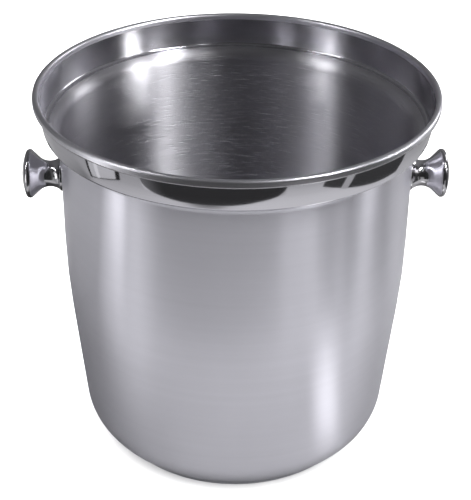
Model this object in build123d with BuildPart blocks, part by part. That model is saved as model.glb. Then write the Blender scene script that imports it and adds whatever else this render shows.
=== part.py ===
from build123d import *

import os
from math import cos, radians, tan

# Champagne bucket: a one-piece sheet-metal shell with a rolled rim, a flared collar and a
# pressed foot, and two turned knobs, each held by a screw from inside.
# Millimetres. +Z is up, the origin is the centre of the base, and the knobs lie along X.

# ---- driving dimensions ------------------------------------------------------------------

# Bucket shell
height = 216.0
rim_radius = 110.0
sheet = 0.8

# Rim bead, curled outward so that its inner side is flush with the collar
bead_width = 3.3
bead_height = 4.4
bead_round = 1.6
bead_tuck_round = 1.2
bead_slit = 0.4  # left between the tucked edge and the collar

# Collar, slightly barrelled, and shoulder. Radii from here down to the base are those of the
# inner surface.
collar_bend_drop = 9.5  # from the top of the rim down to the middle of the barrelled part
collar_bend_radius = 106.25
collar_bend_round = 80.0
collar_depth = 18.8  # from the top of the rim down to the shoulder
collar_bottom_radius = 104.35
collar_crease = 1.6
shoulder_roll = 6.8

# Wall: straight above, then a cone down to the corner
wall_inner_radius = 96.2
wall_bend_drop = 108.0  # from the top of the rim down to where the cone begins
wall_bend_radius = 450.0
corner_radius = 87.4
corner_drop = 201.6
corner_round = 26.2

# Pressed foot and raised base panel
foot_radius = 73.7
foot_depth = 2.6
foot_crease = 2.2
foot_round = 0.8
foot_land = 4.5
panel_radius = 64.2
panel_rise = 2.4
panel_round = 4.0

# Knobs
knob_drop = 53.0  # from the top of the rim down to the knob axis
knob_length = 22.1
knob_base_radius = 9.9
knob_base_land = 0.6
knob_base_round = 0.3
knob_waist_place = 6.8  # from the wall out to the narrowest section
knob_waist_radius = 7.35
knob_waist_curve = 8.6
knob_flare_angle = 43.5
knob_edge_place = 18.6
knob_edge_round = 2.2
knob_gap = 0.05  # between the knob's saddle and the wall

# Fastening
screw_radius = 2.5
screw_hole_radius = 2.7
screw_length = 14.0  # under the head
screw_head_radius = 4.75
screw_head_height = 2.8
screw_head_round = 1.2
recess_length = 5.0
recess_width = 1.0
recess_depth = 1.6
tapped_depth = 13.0
tapped_clearance = 0.03
seal_radius = 7.5
seal_thickness = 1.6
seal_gap = 0.03  # between the seal's saddle and the wall
washer_radius = 6.2
washer_thickness = 1.0

# ---- derived dimensions ------------------------------------------------------------------

knob_height = height - knob_drop
shoulder_height = height - collar_depth
bead_underside = height - bead_height
bead_inner_radius = rim_radius - bead_width
tuck_end_radius = bead_inner_radius + sheet + bead_slit
wall_radius = wall_inner_radius + sheet
seal_face = wall_inner_radius - seal_thickness
washer_face = seal_face - washer_thickness

os.makedirs("parts", exist_ok=True)

# ---- bucket body -------------------------------------------------------------------------

# One face of the sheet, from the tucked edge of the bead over the rim, down the inside and in
# to the centre of the base: corner points with the radius that rounds each corner. The sheet's
# thickness is added outward from it.
sheet_line = [
    ((tuck_end_radius, bead_underside), None),
    ((rim_radius, bead_underside), bead_tuck_round),
    ((rim_radius, height), bead_round),
    ((bead_inner_radius, height), bead_round),
    ((collar_bend_radius, height - collar_bend_drop), collar_bend_round),
    ((collar_bottom_radius, shoulder_height), collar_crease),
    ((wall_inner_radius, shoulder_height), shoulder_roll),
    ((wall_inner_radius, height - wall_bend_drop), wall_bend_radius),
    ((corner_radius, height - corner_drop), corner_round),
    ((foot_radius, sheet + foot_depth), foot_crease),
    ((foot_radius, sheet), foot_round),
    ((foot_radius - foot_land, sheet), foot_round),
    ((panel_radius, sheet + panel_rise), panel_round),
    ((0, sheet + panel_rise), None),
]

with BuildPart() as bucket_body:
    with BuildSketch(Plane.XZ):
        with BuildLine():
            FilletPolyline(
                [point for point, _ in sheet_line],
                radius=[rounding for _, rounding in sheet_line[1:-1]],
            )
            offset(amount=sheet, side=Side.LEFT)
        make_face()
    revolve(axis=Axis.Z)
    with BuildSketch(Plane.YZ):
        with Locations((0, knob_height)):
            Circle(screw_hole_radius)
    extrude(amount=rim_radius, both=True, mode=Mode.SUBTRACT)

bucket_body.part.label = "bucket_body"
export_step(bucket_body.part, "parts/bucket_body.step")

# ---- knobs -------------------------------------------------------------------------------

# Every piece of a knob's fastening is round about this line. The pieces on the right side are
# made first, and those on the left side mirror them.
knob_line = Axis((0, 0, knob_height), (1, 0, 0))
knob_plane = Plane((0, 0, knob_height), x_dir=(1, 0, 0), z_dir=(0, -1, 0))
outward_plane = Plane((0, 0, knob_height), x_dir=(0, 1, 0), z_dir=(1, 0, 0))

waist_slope = tan(radians(knob_flare_angle))
waist_depth = knob_waist_radius - knob_waist_curve * (1 / cos(radians(knob_flare_angle)) - 1)
waist_corner = (wall_radius + knob_waist_place, waist_depth)
base_corner = (wall_radius + knob_base_land, knob_base_radius)
edge_corner = (
    wall_radius + knob_edge_place,
    waist_depth + waist_slope * (knob_edge_place - knob_waist_place),
)
knob_root = wall_inner_radius - 1
knob_tip = wall_radius + knob_length

with BuildPart() as knob_right:
    with BuildSketch(knob_plane) as knob_profile:
        with BuildLine():
            FilletPolyline(
                (knob_root, knob_base_radius),
                base_corner,
                waist_corner,
                edge_corner,
                radius=[knob_base_round, knob_waist_curve],
            )
            TangentArc((knob_tip, 0), edge_corner, tangent=(0, 1))
            Polyline((knob_tip, 0), (knob_root, 0), (knob_root, knob_base_radius))
        make_face()
        fillet(knob_profile.vertices().sort_by(Axis.Y)[-1], knob_edge_round)
    revolve(axis=knob_line)
    with BuildSketch(Plane.XY):
        Circle(wall_radius + knob_gap)
    extrude(amount=height, mode=Mode.SUBTRACT)
    with BuildSketch(outward_plane.offset(wall_inner_radius)):
        Circle(screw_radius + tapped_clearance)
    extrude(amount=sheet + tapped_depth, mode=Mode.SUBTRACT)

# ---- fastening ---------------------------------------------------------------------------

with BuildPart() as sealing_washer_right:
    with BuildSketch(outward_plane.offset(seal_face)):
        Circle(seal_radius)
        Circle(screw_radius + tapped_clearance, mode=Mode.SUBTRACT)
    extrude(amount=2 * seal_thickness)
    with BuildSketch(Plane.XY):
        Circle(wall_inner_radius - seal_gap)
    extrude(amount=height, mode=Mode.INTERSECT)

with BuildPart() as flat_washer_right:
    with BuildSketch(outward_plane.offset(washer_face)):
        Circle(washer_radius)
        Circle(screw_hole_radius, mode=Mode.SUBTRACT)
    extrude(amount=washer_thickness)
    chamfer(flat_washer_right.edges().filter_by(GeomType.CIRCLE).sort_by(SortBy.RADIUS)[-2:], 0.15)

with BuildPart() as knob_screw_right:
    with BuildSketch(outward_plane.offset(washer_face)):
        Circle(screw_head_radius)
    extrude(amount=-screw_head_height)
    fillet(knob_screw_right.edges().sort_by(Axis.X)[0], screw_head_round)
    with BuildSketch(outward_plane.offset(washer_face)):
        Circle(screw_radius)
    extrude(amount=screw_length)
    chamfer(knob_screw_right.edges().sort_by(Axis.X)[-1], screw_radius / 4)
    with BuildSketch(outward_plane.offset(washer_face - screw_head_height)):
        Rectangle(recess_length, recess_width)
        Rectangle(recess_width, recess_length)
    extrude(amount=recess_depth, taper=12, mode=Mode.SUBTRACT)

# ---- left side and export ----------------------------------------------------------------

right_pieces = {
    "knob": knob_right,
    "sealing_washer": sealing_washer_right,
    "flat_washer": flat_washer_right,
    "knob_screw": knob_screw_right,
}

for piece_name, right_piece in right_pieces.items():
    with BuildPart() as left_piece:
        mirror(right_piece.part, about=Plane.YZ)
    right_piece.part.label = piece_name + "_right"
    left_piece.part.label = piece_name + "_left"
    export_step(right_piece.part, "parts/" + right_piece.part.label + ".step")
    export_step(left_piece.part, "parts/" + left_piece.part.label + ".step")
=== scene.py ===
from math import ceil, cos, pi, radians, sin, tan

import bpy
from mathutils import Matrix, Vector


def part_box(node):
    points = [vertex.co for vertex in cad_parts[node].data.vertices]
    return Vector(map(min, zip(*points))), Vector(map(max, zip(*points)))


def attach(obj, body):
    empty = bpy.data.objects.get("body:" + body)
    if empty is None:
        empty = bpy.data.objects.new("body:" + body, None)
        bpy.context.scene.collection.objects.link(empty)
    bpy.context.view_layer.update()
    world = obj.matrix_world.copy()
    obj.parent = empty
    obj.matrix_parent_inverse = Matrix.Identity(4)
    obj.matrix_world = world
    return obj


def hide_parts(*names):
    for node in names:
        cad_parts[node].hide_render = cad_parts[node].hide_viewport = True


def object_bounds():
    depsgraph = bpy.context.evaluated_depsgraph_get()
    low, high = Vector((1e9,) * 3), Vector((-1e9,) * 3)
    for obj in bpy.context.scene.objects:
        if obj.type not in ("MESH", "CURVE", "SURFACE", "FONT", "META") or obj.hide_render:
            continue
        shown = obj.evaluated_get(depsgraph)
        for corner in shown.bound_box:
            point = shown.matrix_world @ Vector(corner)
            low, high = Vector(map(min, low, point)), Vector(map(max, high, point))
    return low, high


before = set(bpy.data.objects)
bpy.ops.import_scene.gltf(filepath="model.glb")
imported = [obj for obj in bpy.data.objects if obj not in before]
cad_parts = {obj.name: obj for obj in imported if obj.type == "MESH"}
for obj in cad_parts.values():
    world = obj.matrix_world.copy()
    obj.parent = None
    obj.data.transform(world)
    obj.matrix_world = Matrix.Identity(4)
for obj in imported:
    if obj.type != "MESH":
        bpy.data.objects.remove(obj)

cad_low, cad_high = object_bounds()
_, body_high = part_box("bucket_body")

MM = 0.001
rim_height = cad_high[2]
rim_radius = body_high[1]


# ---- small helpers -----------------------------------------------------------------------

def new_object(name, data):
    thing = bpy.data.objects.new(name, data)
    bpy.context.scene.collection.objects.link(thing)
    return thing


class NodeTree:
    """A node tree, with short calls to add nodes and links."""

    def __init__(self, tree):
        self.tree = tree

    def node(self, kind, **settings):
        made = self.tree.nodes.new("ShaderNode" + kind)
        for key, value in settings.items():
            setattr(made, key, value)
        return made

    def link(self, source, target):
        self.tree.links.new(source, target)

    def place(self):
        """The point on the surface, in the object's own coordinates."""
        return self.node("TexCoord").outputs["Object"]

    def stretched(self, source, scale, turn=(0, 0, 0)):
        """The coordinates turned and then scaled, so that noise comes out as grain."""
        mapping = self.node("Mapping", vector_type="POINT")
        mapping.inputs["Rotation"].default_value = turn
        mapping.inputs["Scale"].default_value = scale
        self.link(source, mapping.inputs["Vector"])
        return mapping.outputs["Vector"]

    def noise(self, vector, scale=1.0, detail=2.0, roughness=0.5):
        made = self.node("TexNoise")
        made.inputs["Scale"].default_value = scale
        made.inputs["Detail"].default_value = detail
        made.inputs["Roughness"].default_value = roughness
        self.link(vector, made.inputs["Vector"])
        return made.outputs["Fac"]

    def remap(self, source, low, high, to_low, to_high, smooth=False):
        made = self.node("MapRange")
        if smooth:
            made.interpolation_type = "SMOOTHSTEP"
        made.inputs["From Min"].default_value = low
        made.inputs["From Max"].default_value = high
        made.inputs["To Min"].default_value = to_low
        made.inputs["To Max"].default_value = to_high
        self.link(source, made.inputs["Value"])
        return made.outputs["Result"]

    def math(self, operation, first, second=None):
        made = self.node("Math", operation=operation)
        for socket, value in zip(made.inputs, (first, second)):
            if value is None:
                continue
            if isinstance(value, (int, float)):
                socket.default_value = value
            else:
                self.link(value, socket)
        return made.outputs["Value"]

    def measure(self, operation, vector, other=None):
        """A number from a vector: its LENGTH, or its DISTANCE or DOT_PRODUCT with another."""
        made = self.node("VectorMath", operation=operation)
        self.link(vector, made.inputs[0])
        if other is not None:
            made.inputs[1].default_value = other
        return made.outputs["Value"]

    def mixed_colour(self, factor, first, second):
        made = self.node("Mix", data_type="RGBA")
        made.inputs["A"].default_value = (*first, 1)
        made.inputs["B"].default_value = (*second, 1)
        self.link(factor, made.inputs["Factor"])
        return made.outputs["Result"]

    def bumped(self, height, strength, distance):
        made = self.node("Bump")
        made.inputs["Strength"].default_value = strength
        made.inputs["Distance"].default_value = distance
        self.link(height, made.inputs["Height"])
        return made.outputs["Normal"]


class Shader(NodeTree):
    """A new material's node tree."""

    def __init__(self, name):
        self.material = bpy.data.materials.new(name)
        self.material.use_nodes = True
        super().__init__(self.material.node_tree)
        self.surface = self.tree.nodes.get("Principled BSDF")

    def set(self, **inputs):
        """Plain values for the surface, with _ for each space in a socket's name."""
        for key, value in inputs.items():
            self.surface.inputs[key.replace("_", " ")].default_value = value

    def feed(self, socket, source):
        self.link(source, self.surface.inputs[socket])


# ---- materials ---------------------------------------------------------------------------

# A quarter turn of the tangent, so that highlights spread across the brush marks.
QUARTER_TURN = 0.25
BAND_WIDTH = 6  # grain lines in each broader band
CLOUD_SCALE = 22.0
# The stretches of noise that the tone and the roughness follow from end to end.
TONE_NOISE = 0.35, 0.65
ROUGHNESS_NOISE = 0.3, 0.7
FINE_SHARE, TONE_SHARE = 0.4, 0.6
# Three families of scratches, each turned a little from the grain, and how much noise they cut.
SCRATCH_TURNS = ((0.17, 0.06, 0), (-0.14, 0.11, 1.0), (0.03, -0.18, 2.0))
SCRATCH_START, SCRATCH_FULL = 0.60, 0.80


def round_axis(axis, along, across):
    """A noise scale for marks that run round the axis: many across them, few along them."""
    return (across, along, along) if axis == "X" else (along, along, across)


def brushed_metal(name, colour, roughness, roughness_spread, anisotropy, axis, grain,
                  grain_depth, scratch=None, metallic=1.0, uneven_tone=0.06):
    """Metal brushed round an axis: fine grain, broader bands, and sparse slanting scratches.
    The grain is (along, across). The scratch is (along, across, depth)."""
    shader = Shader(name)
    shader.set(Metallic=metallic, Anisotropic=anisotropy, Anisotropic_Rotation=QUARTER_TURN)
    place = shader.place()
    tangent = shader.node("Tangent", direction_type="RADIAL", axis=axis)
    shader.feed("Tangent", tangent.outputs["Tangent"])

    stretch = round_axis(axis, *grain)
    fine = shader.noise(shader.stretched(place, stretch), detail=3.0, roughness=0.6)
    band_stretch = [side / BAND_WIDTH for side in stretch]
    band = shader.noise(shader.stretched(place, band_stretch), detail=2.0)
    cloud = shader.noise(place, scale=CLOUD_SCALE, detail=3.0)

    # Tone: slightly paler and darker bands, with faint clouds of handling.
    half_band = shader.math("MULTIPLY", band, 0.5)
    half_cloud = shader.math("MULTIPLY", cloud, 0.5)
    tone = shader.math("ADD", half_band, half_cloud)
    darker = [part * (1 - uneven_tone) for part in colour]
    paler = [part * (1 + uneven_tone) for part in colour]
    mixed = shader.mixed_colour(shader.remap(tone, *TONE_NOISE, 0, 1), darker, paler)
    shader.feed("Base Color", mixed)

    # Roughness follows the bands and the grain.
    fine_share = shader.math("MULTIPLY", fine, FINE_SHARE)
    tone_share = shader.math("MULTIPLY", tone, TONE_SHARE)
    uneven = shader.math("ADD", fine_share, tone_share)
    smoothest, roughest = roughness - roughness_spread, roughness + roughness_spread
    shader.feed("Roughness", shader.remap(uneven, *ROUGHNESS_NOISE, smoothest, roughest))

    # Height: the grain, with long scratches that cut through it at small angles.
    height = shader.math("MULTIPLY", fine, grain_depth)
    if scratch:
        scratch_along, scratch_across, scratch_depth = scratch
        reach = round_axis(axis, scratch_along, scratch_across)
        for turn in SCRATCH_TURNS:
            lines = shader.noise(shader.stretched(place, reach, turn), detail=1.0)
            cut = shader.remap(lines, SCRATCH_START, SCRATCH_FULL, 0, scratch_depth)
            height = shader.math("SUBTRACT", height, cut)
    shader.feed("Normal", shader.bumped(height, strength=1.0, distance=1.0))
    return shader.material


def washer_rubber(name):
    """Black rubber, finely speckled in tone, roughness and height."""
    shader = Shader(name)
    speckle = shader.noise(shader.place(), scale=900.0, detail=4.0)
    mixed = shader.mixed_colour(speckle, (0.018, 0.018, 0.020), (0.045, 0.045, 0.048))
    shader.feed("Base Color", mixed)
    shader.feed("Roughness", shader.remap(speckle, *ROUGHNESS_NOISE, 0.55, 0.8))
    shader.feed("Normal", shader.bumped(speckle, strength=0.4, distance=0.0001))
    return shader.material


satin_outside = brushed_metal(
    "satin_outside", (0.597, 0.590, 0.650), 0.305, 0.01, 0.90, "Z",
    grain=(40, 2400), grain_depth=0.000004, metallic=0.87, uneven_tone=0.02)
satin_inside = brushed_metal(
    "satin_inside", (0.600, 0.592, 0.632), 0.37, 0.03, 1.0, "Z",
    grain=(150, 1200), grain_depth=0.00006, scratch=(80, 1300, 0.00012), uneven_tone=0.03)
# The inside of the collar is given a darker colour than the inside wall: painted shade.
satin_collar = brushed_metal(
    "satin_collar", (0.560, 0.553, 0.590), 0.20, 0.02, 0.96, "Z",
    grain=(20, 1800), grain_depth=0.000004, uneven_tone=0.03)
polish_colour = (0.657, 0.650, 0.700)
polished_rim = brushed_metal(
    "polished_rim", polish_colour, 0.36, 0.02, 0.3, "Z",
    grain=(16, 1800), grain_depth=0.0000008, uneven_tone=0.02)
polished_collar = brushed_metal(
    "polished_collar", polish_colour, 0.065, 0.015, 0.3, "Z",
    grain=(16, 1800), grain_depth=0.0000008, uneven_tone=0.02)
# The knobs are given a darker colour than the other polished steel: painted shade.
polished_knob = brushed_metal(
    "polished_knob", (0.530, 0.523, 0.552), 0.12, 0.02, 0.2, "X",
    grain=(60, 2600), grain_depth=0.0000010, scratch=(90, 2200, 0.0000012))
plain_steel = brushed_metal(
    "plain_steel", (0.5, 0.5, 0.52), 0.28, 0.06, 0.4, "X",
    grain=(200, 3000), grain_depth=0.000003, scratch=(200, 1500, 0.000003))
black_rubber = washer_rubber("black_rubber")

finishes = {
    "knob_left": polished_knob,
    "knob_right": polished_knob,
    "knob_screw_left": plain_steel,
    "knob_screw_right": plain_steel,
    "flat_washer_left": plain_steel,
    "flat_washer_right": plain_steel,
    "sealing_washer_left": black_rubber,
    "sealing_washer_right": black_rubber,
    "bucket_body": satin_outside,
}
for node_name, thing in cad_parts.items():
    thing.data.materials.clear()
    thing.data.materials.append(finishes[node_name])

# ---- the shell, turned as one fine mesh --------------------------------------------------

# The same sheet line as the CAD model's, in millimetres. Radii are counted in from the edge of
# the rim, and drops down from its top.
SHEET = 0.8
BEAD_WIDTH, BEAD_HEIGHT, BEAD_SLIT = 3.3, 4.4, 0.4
COLLAR_BEND_INSET, COLLAR_BEND_DROP = 3.75, 9.5
COLLAR_FOOT_INSET, COLLAR_DEPTH = 5.65, 18.8
WALL_INSET, WALL_BEND_DROP = 13.8, 108
CORNER_INSET, CORNER_DROP = 22.6, 201.6
FOOT_INSET, FOOT_DEPTH, FOOT_LAND = 36.3, 2.6, 4.5
PANEL_INSET, PANEL_RISE = 45.8, 2.4
top = rim_height / MM
edge = rim_radius / MM
shoulder = top - COLLAR_DEPTH

# Corner points on the face that shows on the bead and inside the bucket, from the tucked end of
# the bead to the middle of the base, each with the radius that rounds it.
sheet_line = [
    (edge - (BEAD_WIDTH - SHEET - BEAD_SLIT), top - BEAD_HEIGHT, 0),
    (edge, top - BEAD_HEIGHT, 1.2),
    (edge, top, 1.6),
    (edge - BEAD_WIDTH, top, 1.6),
    (edge - COLLAR_BEND_INSET, top - COLLAR_BEND_DROP, 80.0),
    (edge - COLLAR_FOOT_INSET, shoulder, 1.6),
    (edge - WALL_INSET, shoulder, 6.8),
    (edge - WALL_INSET, top - WALL_BEND_DROP, 450.0),
    (edge - CORNER_INSET, top - CORNER_DROP, 26.2),
    (edge - FOOT_INSET, SHEET + FOOT_DEPTH, 2.2),
    (edge - FOOT_INSET, SHEET, 0.8),
    (edge - FOOT_INSET - FOOT_LAND, SHEET, 0.8),
    (edge - PANEL_INSET, SHEET + PANEL_RISE, 4.0),
    (0.0, SHEET + PANEL_RISE, 0),
]
ARC_STEP = radians(5)
RUN_STEP = 7.0
AROUND = 288
SAME_POINT = 1e-4
ON_AXIS = 1e-6

# The shell's material slots.
OUTSIDE, BEAD, INSIDE, COLLAR_INSIDE, COLLAR_OUTSIDE = range(5)
shell_finishes = (satin_outside, polished_rim, satin_inside, satin_collar, polished_collar)

# Where one finish gives way to the next.
ROLL_WIDTH = 5.0  # the shoulder's roll into the wall, which has the wall's finish
BEAD_INSIDE_DEPTH, BEAD_OUTSIDE_DEPTH = 3, 5
CREASE_MARGIN_INSIDE, CREASE_MARGIN_OUTSIDE = 0.1, 0.2


def sample_line(corners):
    """Points along the rounded line, each with the unit normal on its right side."""
    samples = []
    last = Vector(corners[0][:2])
    for index in range(1, len(corners)):
        corner = Vector(corners[index][:2])
        heading = (corner - Vector(corners[index - 1][:2])).normalized()
        normal = Vector((heading.y, -heading.x))
        radius = corners[index][2]
        reach = 0
        if radius > 0:
            leaving = (Vector(corners[index + 1][:2]) - corner).normalized()
            turn = abs(heading.angle_signed(leaving))
            reach = radius * tan(turn / 2)
        run_end = corner - heading * reach
        parts = max(2, ceil((run_end - last).length / RUN_STEP))
        for step in range(parts + 1):
            samples.append((last.lerp(run_end, step / parts), normal))
        if radius > 0:
            side = 1 if heading.x * leaving.y - heading.y * leaving.x > 0 else -1
            centre = run_end - normal * radius * side
            steps = max(2, ceil(turn / ARC_STEP))
            for step in range(1, steps + 1):
                rotation = Matrix.Rotation(turn * side * step / steps, 2)
                samples.append((centre + rotation @ (run_end - centre), rotation @ normal))
        last = samples[-1][0].copy()
    clean = [samples[0]]
    for point, normal in samples[1:]:
        if (point - clean[-1][0]).length > SAME_POINT:
            clean.append((point, normal))
    return clean


def shell_finish(radius, level, inside):
    """The material slot for a band of the sheet, from its middle."""
    roll_start = edge - WALL_INSET + ROLL_WIDTH
    if inside:
        if level <= shoulder - CREASE_MARGIN_INSIDE or radius <= roll_start:
            return INSIDE
        return BEAD if level > top - BEAD_INSIDE_DEPTH else COLLAR_INSIDE
    if level <= shoulder - SHEET - CREASE_MARGIN_OUTSIDE or radius <= roll_start + 1:
        return OUTSIDE
    return BEAD if level > top - BEAD_OUTSIDE_DEPTH else COLLAR_OUTSIDE


def shell_mesh(name):
    """The sheet turned about Z. The line runs in from the bead, so its right side faces into the
    bucket, and the other face of the sheet lies on its left."""
    line = sample_line(sheet_line)
    outline = [(point.x, point.y, normal, True) for point, normal in line]
    for point, normal in reversed(line):
        far = point - normal * SHEET
        outline.append((max(far.x, 0), far.y, -normal, False))

    vertices, normals, rows = [], [], []
    for radius, level, normal, _ in outline:
        if radius < ON_AXIS:
            rows.append([len(vertices)] * AROUND)
            vertices.append((0, 0, level * MM))
            normals.append((0, 0, normal.y))
            continue
        rows.append(range(len(vertices), len(vertices) + AROUND))
        for spoke in range(AROUND):
            angle = 2 * pi * spoke / AROUND
            vertices.append((radius * cos(angle) * MM, radius * sin(angle) * MM, level * MM))
            normals.append((normal.x * cos(angle), normal.x * sin(angle), normal.y))

    faces, slots = [], []
    for index, (radius, level, _, inner) in enumerate(outline):
        after = (index + 1) % len(outline)
        next_radius, next_level, _, next_inner = outline[after]
        if radius < ON_AXIS and next_radius < ON_AXIS:
            continue
        middle = (radius + next_radius) / 2, (level + next_level) / 2
        slot = shell_finish(*middle, inside=inner and next_inner)
        row, next_row = rows[index], rows[after]
        for spoke in range(AROUND):
            beside = (spoke + 1) % AROUND
            corners = row[spoke], row[beside], next_row[beside], next_row[spoke]
            faces.append(list(dict.fromkeys(corners)))
            slots.append(slot)

    mesh = bpy.data.meshes.new(name)
    mesh.from_pydata(vertices, [], faces)
    for polygon, slot in zip(mesh.polygons, slots):
        polygon.material_index = slot
        polygon.use_smooth = True
    mesh.update()
    mesh.normals_split_custom_set_from_vertices(normals)
    return mesh


shell = new_object("bucket_shell", shell_mesh("bucket_shell"))
for material in shell_finishes:
    shell.data.materials.append(material)
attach(shell, "root")
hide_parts("bucket_body")

# ---- stage -------------------------------------------------------------------------------

FLOOR_SIZE, FLOOR_DROP = 12, 0.0005
TABLE_SIZE, TABLE_RISE = 1.8, 0.0003


def plane_mesh(name, size_x, size_y):
    mesh = bpy.data.meshes.new(name)
    x, y = size_x / 2, size_y / 2
    mesh.from_pydata([(-x, -y, 0), (x, -y, 0), (x, y, 0), (-x, y, 0)], [], [(0, 1, 2, 3)])
    return mesh


floor = new_object("floor", plane_mesh("floor", FLOOR_SIZE, FLOOR_SIZE))
floor.location.z = -FLOOR_DROP
floor_shader = Shader("floor_white")
floor_shader.set(Base_Color=(0.9, 0.9, 0.9, 1), Roughness=0.9)
floor.data.materials.append(floor_shader.material)
floor.visible_glossy = False


def unseen(thing):
    """Stage pieces that only the metal reflects."""
    thing.visible_camera = False
    thing.visible_diffuse = False
    thing.visible_shadow = False
    return thing


def glow_material(name, strength):
    """An emission material, whose strength may be a number or a function of the shader."""
    shader = Shader(name)
    shader.tree.nodes.clear()
    output = shader.node("OutputMaterial")
    glow = shader.node("Emission")
    glow.inputs["Color"].default_value = (1, 1, 1, 1)
    if callable(strength):
        shader.link(strength(shader), glow.inputs["Strength"])
    else:
        glow.inputs["Strength"].default_value = strength
    shader.link(glow.outputs["Emission"], output.inputs["Surface"])
    return shader.material


def card(name, size, location, aim, strength):
    """A glowing card that faces a point."""
    thing = new_object(name, plane_mesh(name, *size))
    thing.location = location
    thing.rotation_mode = "QUATERNION"
    thing.rotation_quaternion = (Vector(aim) - Vector(location)).to_track_quat("Z", "Y")
    thing.data.materials.append(glow_material(name, strength))
    return unseen(thing)


def bearing_vectors(bearing):
    """The unit vectors away along a bearing in degrees from the front, and to its right."""
    angle = radians(bearing)
    return (sin(angle), -cos(angle), 0), (cos(angle), sin(angle), 0)


def toward(bearing, distance, level):
    """A place at a bearing in degrees from the front, positive to the right."""
    angle = radians(bearing)
    return Vector((distance * sin(angle), -distance * cos(angle), level))


# A glowing card in place of the pale table top, which only the metal reflects, in metres. It
# carries painted light and shade: a painted pool of light, painted contact shadow under the
# bucket, painted shade close to it, painted glints and painted shadows. Each change of glow has
# the distances where it starts and ends, and then the values there.
# A painted pool of light round this centre.
LIGHT_POOL_CENTRE = (0.04, -0.03, 0)
LIGHT_POOL = (0.20, 0.40, 0.74, 0.42)
# Painted contact shadow: no glow under the bucket's foot.
CONTACT_SHADOW = (0.075, 0.100, 0.0, 1.0)
# Painted shade close to the bucket.
CLOSE_SHADE = (0.14, 0.22, 0.55, 1.0)
# Glints: x, y, reach and strength.
TABLE_GLINTS = ((0.143, -0.112, 0.042, 1.3), (0.108, -0.096, 0.032, 1.5))
GLINT_CORE = 0.005
# Shadows: bearing, depth and shift to the side.
TABLE_SHADOWS = ((-118, 0.85, 0.04), (116, 0.35, 0.0))
SHADOW_START = (-0.02, 0.05, 0, 1)
SHADOW_FADE = (0.20, 0.36)
SHADOW_EDGE = (0.075, 0.12, 1, 0)
FAR_SHADOW = 0.1  # the share of a shadow's depth that is left at its far end


def painted_table_glow(shader):
    """Painted light: a pool of light brightest near the bucket, painted contact shadow under it
    and painted shade close to it, with two painted glints and two painted soft shadows.
    """
    place = shader.place()
    light_pool = shader.measure("DISTANCE", place, LIGHT_POOL_CENTRE)
    light_pool = shader.remap(light_pool, *LIGHT_POOL, smooth=True)
    middle = shader.measure("LENGTH", place)
    contact_shadow = shader.remap(middle, *CONTACT_SHADOW, smooth=True)
    close_shade = shader.remap(middle, *CLOSE_SHADE, smooth=True)
    glow = shader.math("MULTIPLY", shader.math("MULTIPLY", light_pool, contact_shadow), close_shade)
    for x, y, reach, strength in TABLE_GLINTS:
        spot = shader.measure("DISTANCE", place, (x, y, 0))
        glint = shader.remap(spot, GLINT_CORE, reach, strength, 0.0, smooth=True)
        glow = shader.math("ADD", glow, glint)
    for bearing, depth, shift in TABLE_SHADOWS:
        away, aside = bearing_vectors(bearing)
        along = shader.measure("DOT_PRODUCT", place, away)
        across = shader.measure("DOT_PRODUCT", place, aside)
        near = shader.remap(along, *SHADOW_START, smooth=True)
        fade = shader.remap(along, *SHADOW_FADE, depth, FAR_SHADOW * depth, smooth=True)
        width = shader.math("ABSOLUTE", shader.math("SUBTRACT", across, shift))
        band = shader.remap(width, *SHADOW_EDGE, smooth=True)
        shadow = shader.math("MULTIPLY", shader.math("MULTIPLY", near, fade), band)
        glow = shader.math("MULTIPLY", glow, shader.math("SUBTRACT", 1.0, shadow))
    return glow


table_card = new_object("table_card", plane_mesh("table_card", TABLE_SIZE, TABLE_SIZE))
table_card.location.z = TABLE_RISE
table_card.data.materials.append(glow_material("table_card", painted_table_glow))
unseen(table_card)


def panel(name, bearing, distance, sides, levels, strength, lean=0.0):
    """An upright card square to a bearing. Its sides are counted to the right of the bearing and
    its levels from the table. A lean slides its top along, so that its sides slope."""
    start, end = sides
    low, high = levels
    mesh = plane_mesh(name, end - start, high - low)
    for vertex in mesh.vertices:
        vertex.co.x += lean * (vertex.co.y + (high - low) / 2)
    thing = new_object(name, mesh)
    square = Matrix.Rotation(radians(bearing), 4, "Z")
    tip_up = Matrix.Rotation(pi / 2, 4, "X")
    centre = square @ Vector(((start + end) / 2, -distance, (low + high) / 2))
    thing.matrix_world = Matrix.Translation(centre) @ square @ tip_up
    thing.data.materials.append(glow_material(name, strength))
    return unseen(thing)


def rounded_dark(width, height, corner, corner_fade, dark, pale, side_fade, side_glow):
    """A dark panel with pale, rounded lower corners and a soft start at its left."""
    def strength(shader):
        split = shader.node("SeparateXYZ")
        shader.link(shader.place(), split.inputs[0])
        across, up = split.outputs["X"], split.outputs["Y"]
        down = shader.math("MULTIPLY", up, -1.0)
        side = shader.math("SUBTRACT", shader.math("ABSOLUTE", across), width / 2 - corner)
        below = shader.math("SUBTRACT", down, height / 2 - corner)
        side = shader.math("MAXIMUM", side, 0.0)
        below = shader.math("MAXIMUM", below, 0.0)
        side_squared = shader.math("MULTIPLY", side, side)
        below_squared = shader.math("MULTIPLY", below, below)
        distance = shader.math("SQRT", shader.math("ADD", side_squared, below_squared))
        inside = shader.remap(distance, corner - corner_fade, corner, dark, pale, smooth=True)
        left = -width / 2
        soft = shader.remap(across, left, left + side_fade, side_glow, 0.0, smooth=True)
        return shader.math("ADD", inside, soft)
    return strength


TABLE_GAP = 0.001  # under a panel that stands on the table
LIGHT_GAP = 0.009  # under the small light, inside its frame

# The dark room beyond the front and right edges of the table.
front_dark = rounded_dark(0.386, 0.419, corner=0.045, corner_fade=0.004, dark=0.035, pale=0.50,
                          side_fade=0.08, side_glow=0.12)
panel("dark_front", -15, 0.258, (-0.181, 0.205), (TABLE_GAP, 0.42), front_dark)
panel("dark_right", 76, 0.296, (-0.190, 0.118), (TABLE_GAP, 0.36), 0.05)
panel("right_slit", 76, 0.291, (-0.114, -0.088), (TABLE_GAP, 0.36), 0.45)

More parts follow.
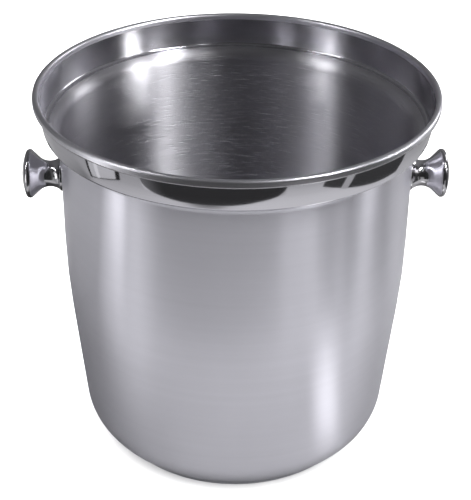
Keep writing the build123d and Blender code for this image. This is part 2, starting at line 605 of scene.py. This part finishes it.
# A small framed light that stands on the table at the left.
SMALL_BEARING, SMALL_TOP, SMALL_LEAN = -91, 0.30, 0.35
for name, distance, sides, bottom, strength in (
    ("small_frame", 0.300, (0.014, 0.150), TABLE_GAP, 0.02),
    ("small_light", 0.296, (0.026, 0.132), LIGHT_GAP, 0.60),
    ("small_stripe", 0.294, (0.048, 0.062), LIGHT_GAP, 0.85),
):
    panel(name, SMALL_BEARING, distance, sides, (bottom, SMALL_TOP), strength, SMALL_LEAN)

# Tall soft boxes at the left and right, a weak one beside the camera, and two smaller lamps.
BUCKET_TOP = (0, 0, 0.2)
for name, size, bearing, distance, level, strength in (
    ("left_box", (0.038, 0.9), -73, 0.95, 1.10, 29.0),
    ("left_spot", (0.05, 0.06), -62, 0.95, 0.42, 90.0),
    ("right_box", (0.11, 0.9), 55, 0.95, 1.10, 36.0),
    ("front_strip", (0.05, 0.7), 24, 1.0, 1.05, 3.5),
    ("back_box", (0.30, 0.30), 122, 0.95, 0.45, 5.5),
):
    card(name, size, toward(bearing, distance, level), BUCKET_TOP, strength)

# Small lamps close by on both sides.
card("right_near", (0.05, 0.05), (0.34, -0.10, 0.275), (-0.05, 0.05, 0.20), 110.0)
card("left_near", (0.045, 0.11), (-0.285, -0.122, 0.150), (-0.06, -0.06, 0.15), 3.3)

# A dark board beside the bucket, which keeps the right soft box off the outside wall.
shade = panel("shade", 46, 0.20, (-0.10, 0.07), (0.15, 0.28), 0.03)
shade.visible_shadow = True


def fill_light(name, energy, spread, lean, bearing):
    """An even light that the metal doesn't mirror."""
    data = bpy.data.lights.new(name, "SUN")
    data.energy = energy
    data.angle = radians(spread)
    lamp = new_object(name, data)
    lamp.rotation_euler = (radians(lean), 0, radians(bearing))
    lamp.visible_glossy = False


# The first brings the floor up to white, and the second lifts the satin wall.
fill_light("floor_fill", energy=8.0, spread=120, lean=0, bearing=0)
fill_light("front_fill", energy=5.0, spread=100, lean=70, bearing=32)

# The room: dim, paler overhead and behind, most of all at the back right.
world = bpy.data.worlds.new("studio")
bpy.context.scene.world = world
world.use_nodes = True
sky = NodeTree(world.node_tree)
background = sky.tree.nodes["Background"]
background.inputs["Color"].default_value = (0.98, 0.98, 1.0, 1)
outward = sky.node("TexCoord").outputs["Generated"]
ROOM_GLOW = 0.02
# Direction, how nearly a view has to face it for the full light and for any, and the light.
SKY_PATCHES = (
    ((0, 0, 1), 0.95, 0.35, 0.08),
    ((0.80, 0.60, 0), 0.9, 0.2, 0.25),
    ((-0.80, 0.60, 0), 0.9, 0.3, 0.12),
)


def sky_patch(direction, near, far, strength):
    """Light that grows from nothing to full as the view turns towards a direction."""
    facing = sky.measure("DOT_PRODUCT", outward, direction)
    return sky.remap(facing, far, near, 0, strength, smooth=True)


room = ROOM_GLOW
for patch in SKY_PATCHES:
    room = sky.math("ADD", room, sky_patch(*patch))
# Seen straight on, the backdrop is as white as the floor.
seen_directly = sky.node("LightPath").outputs["Is Camera Ray"]
sky.link(sky.math("MAXIMUM", room, seen_directly), background.inputs["Strength"])

# ---- camera ------------------------------------------------------------------------------

CENTRE_DROP = 0.060
camera_distance = 0.750
camera_elevation = radians(28.1)
look_below = radians(2.83)
camera_turn = radians(-1.5)
camera_roll = radians(0.63)
view_centre = Vector((0, 0, rim_height - CENTRE_DROP))
backward = Vector((
    sin(camera_turn) * cos(camera_elevation),
    -cos(camera_turn) * cos(camera_elevation),
    sin(camera_elevation),
))
camera_data = bpy.data.cameras.new("camera")
camera_data.sensor_width = 36
camera_data.lens = 95.94
camera = new_object("camera", camera_data)
camera.matrix_world = (
    Matrix.Translation(view_centre + camera_distance * backward)
    @ Matrix.Rotation(camera_turn, 4, "Z")
    @ Matrix.Rotation(pi / 2 - camera_elevation - look_below, 4, "X")
    @ Matrix.Rotation(camera_roll, 4, "Z")
)
bpy.context.scene.camera = camera
bpy.context.scene.view_settings.view_transform = "Standard"
